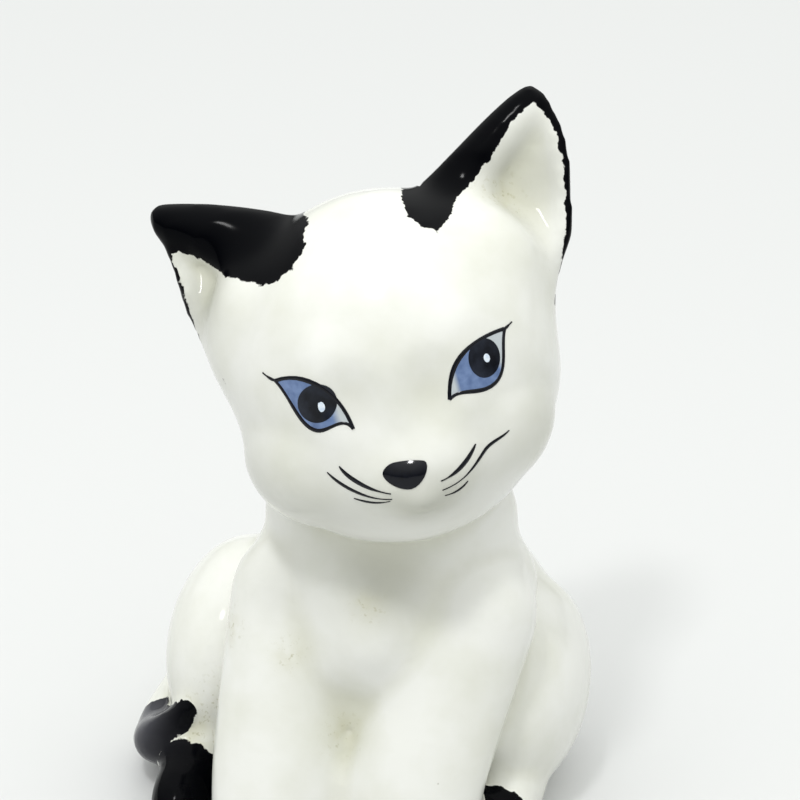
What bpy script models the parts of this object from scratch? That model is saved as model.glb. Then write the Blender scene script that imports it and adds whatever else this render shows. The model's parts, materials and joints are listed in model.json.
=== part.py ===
"""Seated kitten figurine in glazed earthenware, as the slip castings it is luted together from.

Metres, +Z up. The kitten faces -Y and its left side is +X. It sits on z = 0, and the origin is the
middle of its footprint. The head is cocked towards its right shoulder. Every casting is cut from one
smooth body of clay, by a joint form that is the shape of its neighbour's socket, and neighbours keep
a joint gap between them.
"""

import math

import bmesh
import bpy
from mathutils import Matrix, Vector

# ---- driving dimensions ----
JOINT_GAP = 0.0003
WALL = 0.004
VENT_RADIUS = 0.0045
THROAT_RADIUS = 0.0065
JOINT_ALLOWANCE = 0.0009
MIDLINE_X = -0.0040
SEAT_Y = 0.0024

# ---- the head: its centre over the seat, and its turn, tilt and nod ----
HEAD_CENTRE = Vector((0.0045, -0.006, 0.0865))
HEAD_YAW = math.radians(17)
HEAD_ROLL = math.radians(15.5)
HEAD_PITCH = math.radians(13)
SKULL_RADII = Vector((0.028, 0.0265, 0.0288))
SKULL_RISE = 0.001

# ---- where the castings part: heights in millimetres, and the throat's lower end ----
EAR_SPLIT = 74
FORELEG_TOP = 38
HAUNCH_TOP = 60
THROAT_LOW = Vector((0.003, -0.003, 0.045))

# ---- the working mesh ----
VOXEL = 0.0011
SMOOTHING_STEPS = 12
BODY_FACES = 5600
FORM_FACES = 420
HOLLOW_FACES = 220

WHITE_GLAZE = (0.86, 0.86, 0.82)
BLACK_GLAZE = (0.008, 0.009, 0.013)


def mm(*values):
    """A vector from millimetres."""
    return Vector(values) / 1000


def head_matrix():
    """The head's place and turn as a matrix."""
    turn = (
        Matrix.Rotation(HEAD_YAW, 4, "Z")
        @ Matrix.Rotation(-HEAD_ROLL, 4, "Y")
        @ Matrix.Rotation(-HEAD_PITCH, 4, "X")
    )
    return Matrix.Translation(HEAD_CENTRE) @ turn


# ---- lumps: each is a centre and three radii, side to side, front to back, and up ----
def head_lumps():
    """Skull, jaw, two cheeks, muzzle and the clay under each ear, in the head's axes."""
    return [
        (Vector((0, 0, SKULL_RISE)), SKULL_RADII),
        (mm(-1, -6, -9), mm(23.5, 20, 19)),
        (mm(-13, -6, -8.5), mm(15, 17, 14)),
        (mm(10.5, -6, -9), mm(14, 17, 14)),
        (mm(0, -20, -12.5), mm(11.5, 9.3, 8.3)),
        (mm(19.5, -3, 12), mm(9, 9, 12)),
        (mm(-19.5, -3, 12), mm(9, 9, 12)),
    ]


def torso_lumps():
    """Rump, chest, shoulders, neck and breast."""
    return [
        (mm(0, 10, 25), mm(31, 28, 27)),
        (mm(2, -7, 38), mm(22, 18.5, 30)),
        (mm(4, -5, 46), mm(25.5, 16.5, 17)),
        (mm(3.3, -4, 57), mm(22.3, 17, 18)),
        (mm(4, -17.2, 42), mm(11, 8.8, 11)),
    ]


def haunch_lumps(side):
    """Thigh and hind paw. side is 1 on the kitten's left and -1 on its right."""
    if side > 0:
        thigh, paw_out = (mm(25, 6, 20), mm(12.3, 22, 19)), 26
    else:
        thigh, paw_out = (mm(-28, 6.5, 20.5), mm(13, 21.5, 20)), 30
    return [
        thigh,
        (mm(paw_out * side, -20, 6), mm(6, 12.5, 6.8)),
        (mm(paw_out * side, -15, 8), mm(6.2, 9, 6.5)),
        (mm((paw_out - 1) * side, -8, 8), mm(7.5, 12, 9)),
    ]


def foreleg_lumps(side):
    """Shoulder, foreleg and forepaw, filled in along the leg. The right one holds the web between them."""
    if side > 0:
        shoulder, shin, paw = mm(20.5, -11.5, 44), mm(13.8, -23.5, 22), mm(12.4, -28, 8)
    else:
        shoulder, shin, paw = mm(-13, -12, 43), mm(-11.5, -24, 20), mm(-11.6, -28, 8)
    stations = [
        (shoulder, mm(10.3, 11, 12)),
        (shin, mm(12, 9.8, 10)),
        (paw, mm(11.3, 10.5, 8.5)),
    ]
    leg = along(stations, 6)
    web = (mm(0.8, -24, 12), mm(2.5, 7.5, 10))
    return leg if side > 0 else [*leg, web]


def tail_lumps():
    """The tail, from the rump round the right haunch to a tip that turns up beside the paw."""
    stations = [
        (mm(2, 35, 8), mm(8, 8, 8)),
        (mm(-23, 33, 7.5), mm(7.5, 7.5, 7.5)),
        (mm(-36, 17, 7), mm(7, 7, 7)),
        (mm(-39.4, 3, 7), mm(5.8, 5.8, 5.6)),
        (mm(-39.2, -7, 7.2), mm(5.6, 5.6, 5)),
        (mm(-37.2, -13.5, 11), mm(4.5, 4.5, 4.2)),
        (mm(-31.4, -15.2, 19), mm(1.5, 1.5, 1.5)),
    ]
    return along(stations, 6)


def through(before, start, end, after, share):
    """A point on the smooth curve from start to end, between the points before and after them."""
    leave = (end - before) / 2
    arrive = (after - start) / 2
    square, cube = share**2, share**3
    at_start = start * (2 * cube - 3 * square + 1) + leave * (cube - 2 * square + share)
    at_end = end * (3 * square - 2 * cube) + arrive * (cube - square)
    return at_start + at_end


def along(stations, steps):
    """The stations with steps lumps from each one to the next, on one smooth curve."""
    lumps = []
    padded = [stations[0], *stations, stations[-1]]
    for index in range(1, len(stations)):
        around = padded[index - 1 : index + 3]
        for step in range(steps + 1):
            centre, radii = (
                through(*[station[part] for station in around], step / steps) for part in (0, 1)
            )
            lumps.append((centre, radii))
    return lumps


def add_lumps(clay, lumps, place=None, fineness=4):
    """Adds each lump to the bmesh as a closed ball."""
    for centre, radii in lumps:
        ball = Matrix.Translation(centre) @ Matrix.Diagonal((*radii, 1.0))
        if place is not None:
            ball = place @ ball
        bmesh.ops.create_icosphere(clay, subdivisions=fineness, radius=1.0, matrix=ball)


# ---- the ears: a thick inner edge and a thin outer one, with a dished slab between ----
def bezier(points, share):
    """A point on the cubic curve through four control points."""
    first = points[0].lerp(points[1], share)
    middle = points[1].lerp(points[2], share)
    last = points[2].lerp(points[3], share)
    return first.lerp(middle, share).lerp(middle.lerp(last, share), share)


def ear_edges(side):
    """The inner and the outer edge of an ear from its root, inside the skull, to its tip."""
    if side > 0:
        tip = mm(33.5, 8, 36.9)
        inner = [mm(3, 4, 23), mm(15.5, 5, 28), mm(25.5, 6, 36), tip]
        outer = [mm(27, 0, -2), mm(35.5, 1, 12), mm(41.6, 4, 33), tip]
    else:
        tip = mm(-32, 8, 35.2)
        inner = [mm(-3, 4, 24), mm(-14, 5, 31.5), mm(-25, 6, 34.5), tip]
        outer = [mm(-27.5, 0, -5), mm(-33, 1, 11), mm(-29, 4, 24), tip]
    return inner, outer


def ear_section(side, share):
    """Middles and radii of the two rims at one share of the ear's length, and the way to its back."""
    inner, outer = (bezier(edge, share) for edge in ear_edges(side))
    width = outer - inner
    across = width.normalized()
    back = (Vector((0, 1, 0)) - across * across.y).normalized()
    room = width.length / 2
    if side > 0:
        thick, blunt = min(0.0058 - 0.003 * share, room), 0.0016
    else:
        thick, blunt = min(0.0066 - 0.0046 * share**1.8, room), 0.0019
    thin = min(0.0019 - 0.0002 * share, room)
    return inner + across * thick, outer - across * thin, max(thick, blunt), thin, back


def ear_lumps(side, steps):
    """The two rims of an ear, as balls close together."""
    lumps = []
    for step in range(steps + 1):
        start, end, thick, thin, _ = ear_section(side, step / steps)
        lumps.append((start, Vector((thick, thick, thick))))
        lumps.append((end, Vector((thin, thin, thin))))
    return lumps


def slab_ring(side, share):
    """The closed outline of the slab between the rims, dished at the front."""
    start, end, thick, thin, back = ear_section(side, share)
    dish = 0.1 * (end - start).length
    front, rear = [], []
    for step in range(9):
        place = step / 8
        swell = 4 * place * (1 - place)
        spine = start.lerp(end, place) + back * dish * swell
        front.append(spine - back * 0.0009)
        rear.append(spine + back * (thick + (thin - thick) * place) * 0.95)
    return front + rear[::-1]


def add_ear(clay, side):
    """Adds one ear to the bmesh as rims and a slab."""
    add_lumps(clay, ear_lumps(side, 24), head_matrix(), 3)
    rings = []
    for step in range(19):
        outline = slab_ring(side, step / 19)
        rings.append([clay.verts.new(head_matrix() @ point) for point in outline])
    faces = [clay.faces.new(rings[0]), clay.faces.new(rings[-1][::-1])]
    for ring, following in zip(rings, rings[1:]):
        for index in range(len(ring)):
            after = (index + 1) % len(ring)
            corners = (ring[index], following[index], following[after], ring[after])
            faces.append(clay.faces.new(corners))
    bmesh.ops.recalc_face_normals(clay, faces=faces)


# ---- working objects ----
def new_object(name, clay):
    """An object with the bmesh as its mesh."""
    mesh = bpy.data.meshes.new(name)
    clay.to_mesh(mesh)
    clay.free()
    obj = bpy.data.objects.new(name, mesh)
    bpy.context.scene.collection.objects.link(obj)
    return obj


def settle(obj):
    """Makes the object's modifiers part of its mesh."""
    graph = bpy.context.evaluated_depsgraph_get()
    mesh = bpy.data.meshes.new_from_object(obj.evaluated_get(graph))
    obj.modifiers.clear()
    obj.data = mesh


def smooth_form(name, clay, faces):
    """Joins what is in the bmesh into one smooth closed form of about that many faces."""
    obj = new_object(name, clay)
    join = obj.modifiers.new("Join", "REMESH")
    join.mode = "VOXEL"
    join.voxel_size = VOXEL
    wipe = obj.modifiers.new("Wipe", "SMOOTH")
    wipe.factor = 0.5
    wipe.iterations = SMOOTHING_STEPS
    settle(obj)
    thin = obj.modifiers.new("Thin", "DECIMATE")
    thin.ratio = faces / (2 * len(obj.data.polygons))
    thin.use_collapse_triangulate = True
    settle(obj)
    as_guide(obj)
    return obj


def as_guide(obj):
    """Keeps a working object out of the model."""
    obj.hide_render = True
    obj.display_type = "WIRE"


def grown(obj, amount):
    """A copy of a form that stands proud of it all over by the amount."""
    copy = bpy.data.objects.new(f"{obj.name}_{round(amount * 1e5)}", obj.data.copy())
    bpy.context.scene.collection.objects.link(copy)
    swell = copy.modifiers.new("Swell", "DISPLACE")
    swell.strength = amount
    swell.mid_level = 0.0
    settle(copy)
    as_guide(copy)
    return copy


def form_of(name, lumps, faces=FORM_FACES, place=None):
    """A smooth form made of lumps alone."""
    clay = bmesh.new()
    add_lumps(clay, lumps, place)
    return smooth_form(name, clay, faces)


def block(name, low, high):
    """A box between two corners, as a cutter."""
    clay = bmesh.new()
    size = high - low
    place = Matrix.Translation((low + high) / 2) @ Matrix.Diagonal((*size, 1.0))
    bmesh.ops.create_cube(clay, size=1.0, matrix=place)
    cutter = new_object(name, clay)
    as_guide(cutter)
    return cutter


def rod(name, radius, start, end):
    """A cylinder between two points, as a cutter."""
    clay = bmesh.new()
    turn = (end - start).to_track_quat("Z", "Y").to_matrix().to_4x4()
    place = Matrix.Translation((start + end) / 2) @ turn
    bmesh.ops.create_cone(
        clay,
        cap_ends=True,
        segments=32,
        radius1=radius,
        radius2=radius,
        depth=(end - start).length,
        matrix=place,
    )
    cutter = new_object(name, clay)
    as_guide(cutter)
    return cutter


def body_of(face):
    """All the faces joined to one face by shared edges."""
    found = {face}
    waiting = [face]
    while waiting:
        for edge in waiting.pop().edges:
            for neighbour in edge.link_faces:
                if neighbour not in found:
                    found.add(neighbour)
                    waiting.append(neighbour)
    return found


def fettle(obj):
    """Knocks off loose crumbs left along a joint, and keeps the casting."""
    clay = bmesh.new()
    clay.from_mesh(obj.data)
    bodies = []
    waiting = set(clay.faces)
    while waiting:
        body = body_of(next(iter(waiting)))
        bodies.append(body)
        waiting -= body
    bodies.sort(key=len)
    crumbs = [face for body in bodies[:-1] for face in body]
    bmesh.ops.delete(clay, geom=crumbs, context="FACES")
    clay.to_mesh(obj.data)
    clay.free()


def cast(name, whole, within, without):
    """A casting: the whole body inside the forms of within and outside those of without."""
    obj = bpy.data.objects.new(name, whole.data.copy())
    bpy.context.scene.collection.objects.link(obj)
    steps = [(form, "INTERSECT") for form in within]
    steps += [(form, "DIFFERENCE") for form in without]
    for form, operation in steps:
        cut = obj.modifiers.new(form.name, "BOOLEAN")
        cut.operation = operation
        cut.object = form
        settle(obj)
    fettle(obj)
    return obj


# ---- the castings ----
def whole_body():
    """All of the clay as one smooth body, flat underneath."""
    clay = bmesh.new()
    add_lumps(clay, head_lumps(), head_matrix())
    add_lumps(clay, torso_lumps())
    for side in (-1, 1):
        add_ear(clay, side)
        add_lumps(clay, haunch_lumps(side))
        add_lumps(clay, foreleg_lumps(side))
    add_lumps(clay, tail_lumps())
    body = smooth_form("whole_body", clay, BODY_FACES)
    ground = block("ground", mm(-80, -80, -40), mm(80, 80, 0))
    standing = cast("standing_body", body, [], [ground])
    as_guide(standing)
    return standing


def joint_forms(name, lumps, place=None):
    """The form that a casting is cut by, and the socket that it leaves in its neighbours."""
    form = grown(form_of(f"{name}_form", lumps, FORM_FACES, place), JOINT_ALLOWANCE)
    return form, grown(form, JOINT_GAP)


def cast_head(whole):
    """The hollow head with its throat, and its socket."""
    form, socket = joint_forms("head", head_lumps(), head_matrix())
    inside = SKULL_RADII - Vector((WALL, WALL, WALL))
    hollow_lump = (Vector((0, 0, SKULL_RISE)), inside)
    hollow = form_of("head_hollow", [hollow_lump], HOLLOW_FACES, head_matrix())
    throat = rod("head_throat", THROAT_RADIUS, THROAT_LOW, HEAD_CENTRE)
    above = block("above_neck", mm(-80, -80, 54), mm(80, 80, 160))
    cast("head_casting", whole, [above, form], [hollow, throat])
    return socket


def cast_ears(whole, head_socket):
    """Both ears, solid, seated on the head."""
    middle = HEAD_CENTRE.x * 1000 + 2
    left = block("left_of_head", mm(middle, -80, EAR_SPLIT), mm(80, 80, 160))
    right = block("right_of_head", mm(-80, -80, EAR_SPLIT), mm(middle, 80, 160))
    cast("left_ear", whole, [left], [head_socket])
    cast("right_ear", whole, [right], [head_socket])


def cast_limbs(whole, kind, lumps_of, top, taken):
    """The right and the left limb of a kind, up to its top face, clear of the sockets already taken."""
    found = []
    for side, name in ((-1, f"right_{kind}"), (1, f"left_{kind}")):
        form, socket = joint_forms(name, lumps_of(side))
        below = block(f"{name}_top", mm(-80, -80, -1), mm(80, 80, top))
        below_socket = block(f"{name}_socket_top", mm(-80, -80, -2), mm(80, 80, top + 0.3))
        cast(name, whole, [form, below], taken + found)
        seat = cast(f"{name}_seat", socket, [below_socket], [])
        as_guide(seat)
        found.append(seat)
    return found


def cast_torso(whole, sockets):
    """The hollow torso, open at the neck and vented through its base."""
    hollow_lumps = [
        (mm(0, 9, 23), mm(18, 18, 17)),
        (mm(2, -1, 40), mm(10.5, 8, 17)),
    ]
    hollow = form_of("torso_hollow", hollow_lumps, HOLLOW_FACES)
    throat = rod("torso_throat", THROAT_RADIUS, THROAT_LOW, HEAD_CENTRE)
    vent = rod("vent", VENT_RADIUS, mm(0, 8, -10), mm(0, 8, 15))
    below = block("below_head", mm(-80, -80, -1), mm(80, 80, EAR_SPLIT))
    cast("torso_casting", whole, [below], [*sockets, hollow, throat, vent])


def cast_all():
    """Cuts every casting out of the whole body."""
    whole = whole_body()
    head_socket = cast_head(whole)
    cast_ears(whole, head_socket)
    taken = [head_socket]
    taken += cast_limbs(whole, "foreleg", foreleg_lumps, FORELEG_TOP, taken)
    taken += cast_limbs(whole, "haunch", haunch_lumps, HAUNCH_TOP, taken)
    tail_form, tail_socket = joint_forms("tail", tail_lumps())
    cast("tail", whole, [tail_form], taken)
    cast_torso(whole, [*taken, tail_socket])


def glaze(name, colour):
    """A glossy glaze of one colour."""
    material = bpy.data.materials.new(name)
    material.use_nodes = True
    shader = material.node_tree.nodes["Principled BSDF"]
    shader.inputs["Base Color"].default_value = (*colour, 1.0)
    shader.inputs["Roughness"].default_value = 0.12
    shader.inputs["Metallic"].default_value = 0.0
    return material


def finish():
    """Glazes each casting, shades it smooth and puts the footprint's middle on the origin."""
    black = ("left_ear", "right_ear", "tail")
    for obj in bpy.data.objects:
        if obj.hide_render:
            continue
        colour = BLACK_GLAZE if obj.name in black else WHITE_GLAZE
        obj.data.materials.append(glaze(f"{obj.name}_glaze", colour))
        obj.data.transform(Matrix.Translation((-MIDLINE_X, -SEAT_Y, 0.0)))
        obj.data.shade_smooth()
        obj.data.set_sharp_from_angle(angle=math.radians(40))


for old in list(bpy.data.objects):
    bpy.data.objects.remove(old)
cast_all()
finish()
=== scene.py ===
"""Looks of a seated kitten figurine in glazed earthenware, built as a Blender add-on and run as a script.

The clay is modelled in one piece, as a modeller would, out of lumps that are joined, wiped smooth and
worked with proportional edits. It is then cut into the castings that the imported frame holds, so each
casting has its own node. Sizes are in metres. "Seat axes" have their origin on the kitten's midline.
"""

import json
import math

import bmesh
import bpy
import numpy as np
from bpy.props import FloatProperty, FloatVectorProperty, IntProperty, PointerProperty
from mathutils import Matrix, Vector
from mathutils.bvhtree import BVHTree
from mathutils.kdtree import KDTree

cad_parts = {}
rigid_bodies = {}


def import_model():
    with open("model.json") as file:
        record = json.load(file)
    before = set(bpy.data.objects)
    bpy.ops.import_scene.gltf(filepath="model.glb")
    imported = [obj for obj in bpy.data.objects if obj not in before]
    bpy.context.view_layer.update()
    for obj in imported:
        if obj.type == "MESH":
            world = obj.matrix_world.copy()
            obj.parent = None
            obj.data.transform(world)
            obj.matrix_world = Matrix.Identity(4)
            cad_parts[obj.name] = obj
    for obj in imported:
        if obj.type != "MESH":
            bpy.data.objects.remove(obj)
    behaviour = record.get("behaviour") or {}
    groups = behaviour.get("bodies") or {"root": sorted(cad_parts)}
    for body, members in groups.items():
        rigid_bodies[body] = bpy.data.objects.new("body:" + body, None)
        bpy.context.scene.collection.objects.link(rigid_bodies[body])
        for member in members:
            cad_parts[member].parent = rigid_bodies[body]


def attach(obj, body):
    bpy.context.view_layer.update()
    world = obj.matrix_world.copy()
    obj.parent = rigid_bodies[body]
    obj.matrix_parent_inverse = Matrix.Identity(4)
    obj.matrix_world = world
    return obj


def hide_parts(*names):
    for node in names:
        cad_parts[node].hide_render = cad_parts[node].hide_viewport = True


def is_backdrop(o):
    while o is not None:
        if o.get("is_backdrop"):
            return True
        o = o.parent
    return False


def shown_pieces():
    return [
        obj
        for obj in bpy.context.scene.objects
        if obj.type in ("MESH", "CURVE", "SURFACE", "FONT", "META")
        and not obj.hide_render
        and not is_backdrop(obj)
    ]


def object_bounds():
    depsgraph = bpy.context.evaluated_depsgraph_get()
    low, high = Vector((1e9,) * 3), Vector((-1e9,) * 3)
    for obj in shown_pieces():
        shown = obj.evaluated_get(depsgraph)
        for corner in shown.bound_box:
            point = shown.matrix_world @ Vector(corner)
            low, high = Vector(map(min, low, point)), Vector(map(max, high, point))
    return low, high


bl_info = {
    "name": "Glazed kitten figurine",
    "version": (1, 0, 0),
    "blender": (4, 5, 0),
    "location": "View3D > Sidebar > Kitten",
    "description": "Models and glazes a seated kitten figurine around its packed frame",
    "category": "Object",
}

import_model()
CAD_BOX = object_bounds()
BODY = "root"

# The kitten's midline and the middle of its seat, from the middle of the frame's footprint.
SEAT_SHIFT = (0.0040, -0.0024)
SEAT = Matrix.Translation((
    (CAD_BOX[0].x + CAD_BOX[1].x) / 2 + SEAT_SHIFT[0],
    (CAD_BOX[0].y + CAD_BOX[1].y) / 2 + SEAT_SHIFT[1],
    CAD_BOX[0].z,
))
SIDES = {1: "left", -1: "right"}


# ---- sizes and colours that a user would change ----
def angle_property(name, description, degrees):
    """An angle that a user can change."""
    return FloatProperty(name=name, description=description, default=math.radians(degrees), subtype="ANGLE")


def length_property(name, description, default):
    """A length that a user can change."""
    return FloatProperty(name=name, description=description, default=default, unit="LENGTH")


def place_property(name, description, default):
    """A point that a user can change."""
    return FloatVectorProperty(
        name=name, description=description, default=default, subtype="TRANSLATION", unit="LENGTH"
    )


def colour_property(name, description, default):
    """A colour that a user can change."""
    return FloatVectorProperty(
        name=name, description=description, default=default, subtype="COLOR", min=0, max=1
    )


class KittenClay(bpy.types.PropertyGroup):
    """Sizes of the clay"""

    head_centre: place_property(
        "Head centre", "Middle of the skull, in the seat axes", (0.0045, -0.006, 0.0865)
    )
    head_yaw: angle_property("Turn", "How far the head turns to its left", 17)
    head_roll: angle_property("Tilt", "How far the head is cocked over its right shoulder", 15.5)
    head_pitch: angle_property("Nod", "How far the nose is raised", 13)
    voxel: length_property("Voxel", "Grain of the mesh that joins the lumps", 0.0011)
    wipes: IntProperty(
        name="Wipes", description="How often the joined clay is wiped over with a sponge", default=8, min=0
    )


class KittenColours(bpy.types.PropertyGroup):
    """Colours of the glaze, the enamels and the floor, and of the painted shade, the painted reflection and
    the painted highlight
    """

    white: colour_property("White", "The glaze where it is clean", (0.80, 0.803, 0.765))
    clouded: colour_property("Clouded white", "The glaze where it is cloudy", (0.715, 0.72, 0.65))
    # Painted shade: the white at its darkest, where shade is painted under the head, in the ear dishes and at
    # the collar.
    shaded_white: colour_property("Greyed white", "The glaze where it has greyed most", (0.40, 0.405, 0.345))
    # Partly painted shade: the white darkened and yellowed in the hollows, where the glaze also pools.
    pooled_and_shaded: colour_property("Pooled white", "The glaze where it gathers in hollows", (0.60, 0.60, 0.49))
    # Partly painted shade: stains laid in the creases and the ear dishes, where shade falls.
    stain: colour_property("Stain", "The stain in the glaze", (0.50, 0.48, 0.30))
    fleck: colour_property("Fleck", "The flecks in a stain", (0.36, 0.34, 0.18))
    pinhole: colour_property("Pinhole", "The clay that shows in a pinhole", (0.22, 0.2, 0.13))
    enamel: colour_property("Enamel", "The black where it is thick", (0.0008, 0.001, 0.0018))
    edge: colour_property("Enamel edge", "The black at its edges", (0.0025, 0.0026, 0.0036))
    # Painted reflection: the grey laid on the tail's black where light would reflect off it.
    sheen: colour_property("Enamel sheen", "The black where it is thin", (0.10, 0.10, 0.115))
    line: colour_property("Line", "The blue-black of lids, nose and whiskers", (0.002, 0.0026, 0.005))
    line_pale: colour_property("Pale line", "The blue-black where it is thin", (0.004, 0.0048, 0.009))
    pupil_dark: colour_property("Dark pupil", "The darkest of a pupil", (0.004, 0.005, 0.008))
    pupil: colour_property("Pupil", "The navy of a pupil", (0.018, 0.022, 0.034))
    iris: colour_property("Iris", "The blue of an iris", (0.10, 0.155, 0.30))
    iris_pale: colour_property("Pale iris", "The blue where the brush was dry", (0.17, 0.245, 0.43))
    corner: colour_property("Eye corner", "The iris in the corner of the eye", (0.50, 0.54, 0.56))
    # Painted highlight: the pale dot in each pupil that stands for a reflection.
    glint: colour_property("Glint", "The dot in a pupil", (0.55, 0.66, 0.8))
    glint_pale: colour_property("Pale glint", "The palest of that dot", (0.8, 0.86, 0.92))
    foot: colour_property("Foot", "The bare clay of the foot", (0.62, 0.585, 0.5))
    sand: colour_property("Sand", "The grains in the foot", (0.75, 0.72, 0.645))
    backdrop: colour_property("Backdrop", "The floor", (0.655, 0.66, 0.66))


def colour_of(name):
    """One of the colours that a user can change."""
    return tuple(getattr(bpy.context.scene.kitten_colours, name))


class KittenStage(bpy.types.PropertyGroup):
    """Where the camera stands"""

    azimuth: angle_property("Azimuth", "Side that the camera stands on, from the kitten's front", 14)
    elevation: angle_property("Elevation", "Height of the camera as an angle", 25)
    distance: length_property("Distance", "From the camera to the middle of the head", 0.4)
    look_at: place_property(
        "Look at", "Point that the camera turns round, in the seat axes", (0.005, -0.006, 0.086)
    )
    lens: FloatProperty(name="Lens", description="Focal length in millimetres", default=108)


def mm(*values):
    """A vector from millimetres."""
    return Vector(values) / 1000


def head_axes():
    """The head's place and turn in the frame."""
    clay = bpy.context.scene.kitten_clay
    turn = (
        Matrix.Rotation(clay.head_yaw, 4, "Z")
        @ Matrix.Rotation(-clay.head_roll, 4, "Y")
        @ Matrix.Rotation(-clay.head_pitch, 4, "X")
    )
    return SEAT @ Matrix.Translation(clay.head_centre) @ turn


# ---- lumps: each is a centre and three radii, side to side, front to back, and up ----
def head_lumps():
    """Skull, jaw, two cheeks and muzzle, in the head's axes."""
    return [
        (mm(0, 0, 1), mm(28, 26.5, 28.8)),
        (mm(-1, -6, -9), mm(23.5, 20, 19)),
        (mm(-13, -6, -8.5), mm(15, 17, 14)),
        (mm(10.5, -6, -9), mm(14, 17, 14)),
        (mm(0, -20, -12.5), mm(11.5, 9.3, 8.3)),
    ]


def torso_lumps():
    """Rump, chest, shoulders and neck, in the seat axes."""
    return [
        (mm(0, 10, 25), mm(31, 28, 27)),
        (mm(2, -7, 38), mm(22, 18.5, 30)),
        (mm(4, -5, 46), mm(25.5, 16.5, 17)),
        (mm(3.3, -4, 57), mm(22.3, 17, 18)),
        (mm(4, -17.2, 42), mm(11, 8.8, 11)),
    ]


def haunch_lumps(side):
    """Thigh and hind paw. side is 1 on the kitten's left and -1 on its right."""
    if side > 0:
        thigh, paw_out = (mm(25, 6, 20), mm(12.3, 22, 19)), 26
    else:
        thigh, paw_out = (mm(-28, 6.5, 20.5), mm(13, 21.5, 20)), 30
    return [
        thigh,
        (mm(paw_out * side, -20, 6), mm(6, 12.5, 6.8)),
        (mm(paw_out * side, -15, 8), mm(6.2, 9, 6.5)),
        (mm((paw_out - 1) * side, -8, 8), mm(7.5, 12, 9)),
    ]


def foreleg_lumps(side):
    """Shoulder, foreleg and forepaw, filled in along the leg."""
    if side > 0:
        shoulder, shin, paw = mm(20.5, -11.5, 44), mm(13.8, -23.5, 22), mm(12.4, -28, 8)
    else:
        shoulder, shin, paw = mm(-13, -12, 43), mm(-11.5, -24, 20), mm(-11.6, -28, 8)
    leg = along([(shoulder, mm(10.3, 11, 12)), (shin, mm(12, 9.8, 10)), (paw, mm(11.3, 10.5, 8.5))])
    web = (mm(0.8, -24, 12), mm(2.5, 7.5, 10))
    return leg if side > 0 else [*leg, web]


def tail_lumps():
    """The tail, from the rump round the right haunch to a tip that turns up beside the paw."""
    return along([
        (mm(2, 35, 8), mm(8, 8, 8)),
        (mm(-23, 33, 7.5), mm(7.5, 7.5, 7.5)),
        (mm(-36, 17, 7), mm(7, 7, 7)),
        (mm(-39.4, 3, 7), mm(5.8, 5.8, 5.6)),
        (mm(-39.2, -7, 7.2), mm(5.6, 5.6, 5)),
        (mm(-37.2, -13.5, 11), mm(4.5, 4.5, 4.2)),
        (mm(-31.4, -15.2, 19), mm(1.5, 1.5, 1.5)),
    ])


def through(before, start, end, after, share):
    """A point on the smooth curve from start to end, between the points before and after them."""
    leave = (end - before) / 2
    arrive = (after - start) / 2
    square, cube = share**2, share**3
    at_start = start * (2 * cube - 3 * square + 1) + leave * (cube - 2 * square + share)
    at_end = end * (3 * square - 2 * cube) + arrive * (cube - square)
    return at_start + at_end


def along(stations, steps=10):
    """Lumps from each station to the next, on one smooth curve."""
    lumps = []
    padded = [stations[0], *stations, stations[-1]]
    for index in range(1, len(stations)):
        around = padded[index - 1 : index + 3]
        for step in range(steps + 1):
            centre, radii = (
                through(*[station[part] for station in around], step / steps) for part in (0, 1)
            )
            lumps.append((centre, radii))
    return lumps


# ---- the ears: a thick coil on the inner edge, a thin one on the outer, and a dished slab between ----
def bezier(points, share):
    """A point on the cubic curve through four control points."""
    first = points[0].lerp(points[1], share)
    middle = points[1].lerp(points[2], share)
    last = points[2].lerp(points[3], share)
    return first.lerp(middle, share).lerp(middle.lerp(last, share), share)


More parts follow.
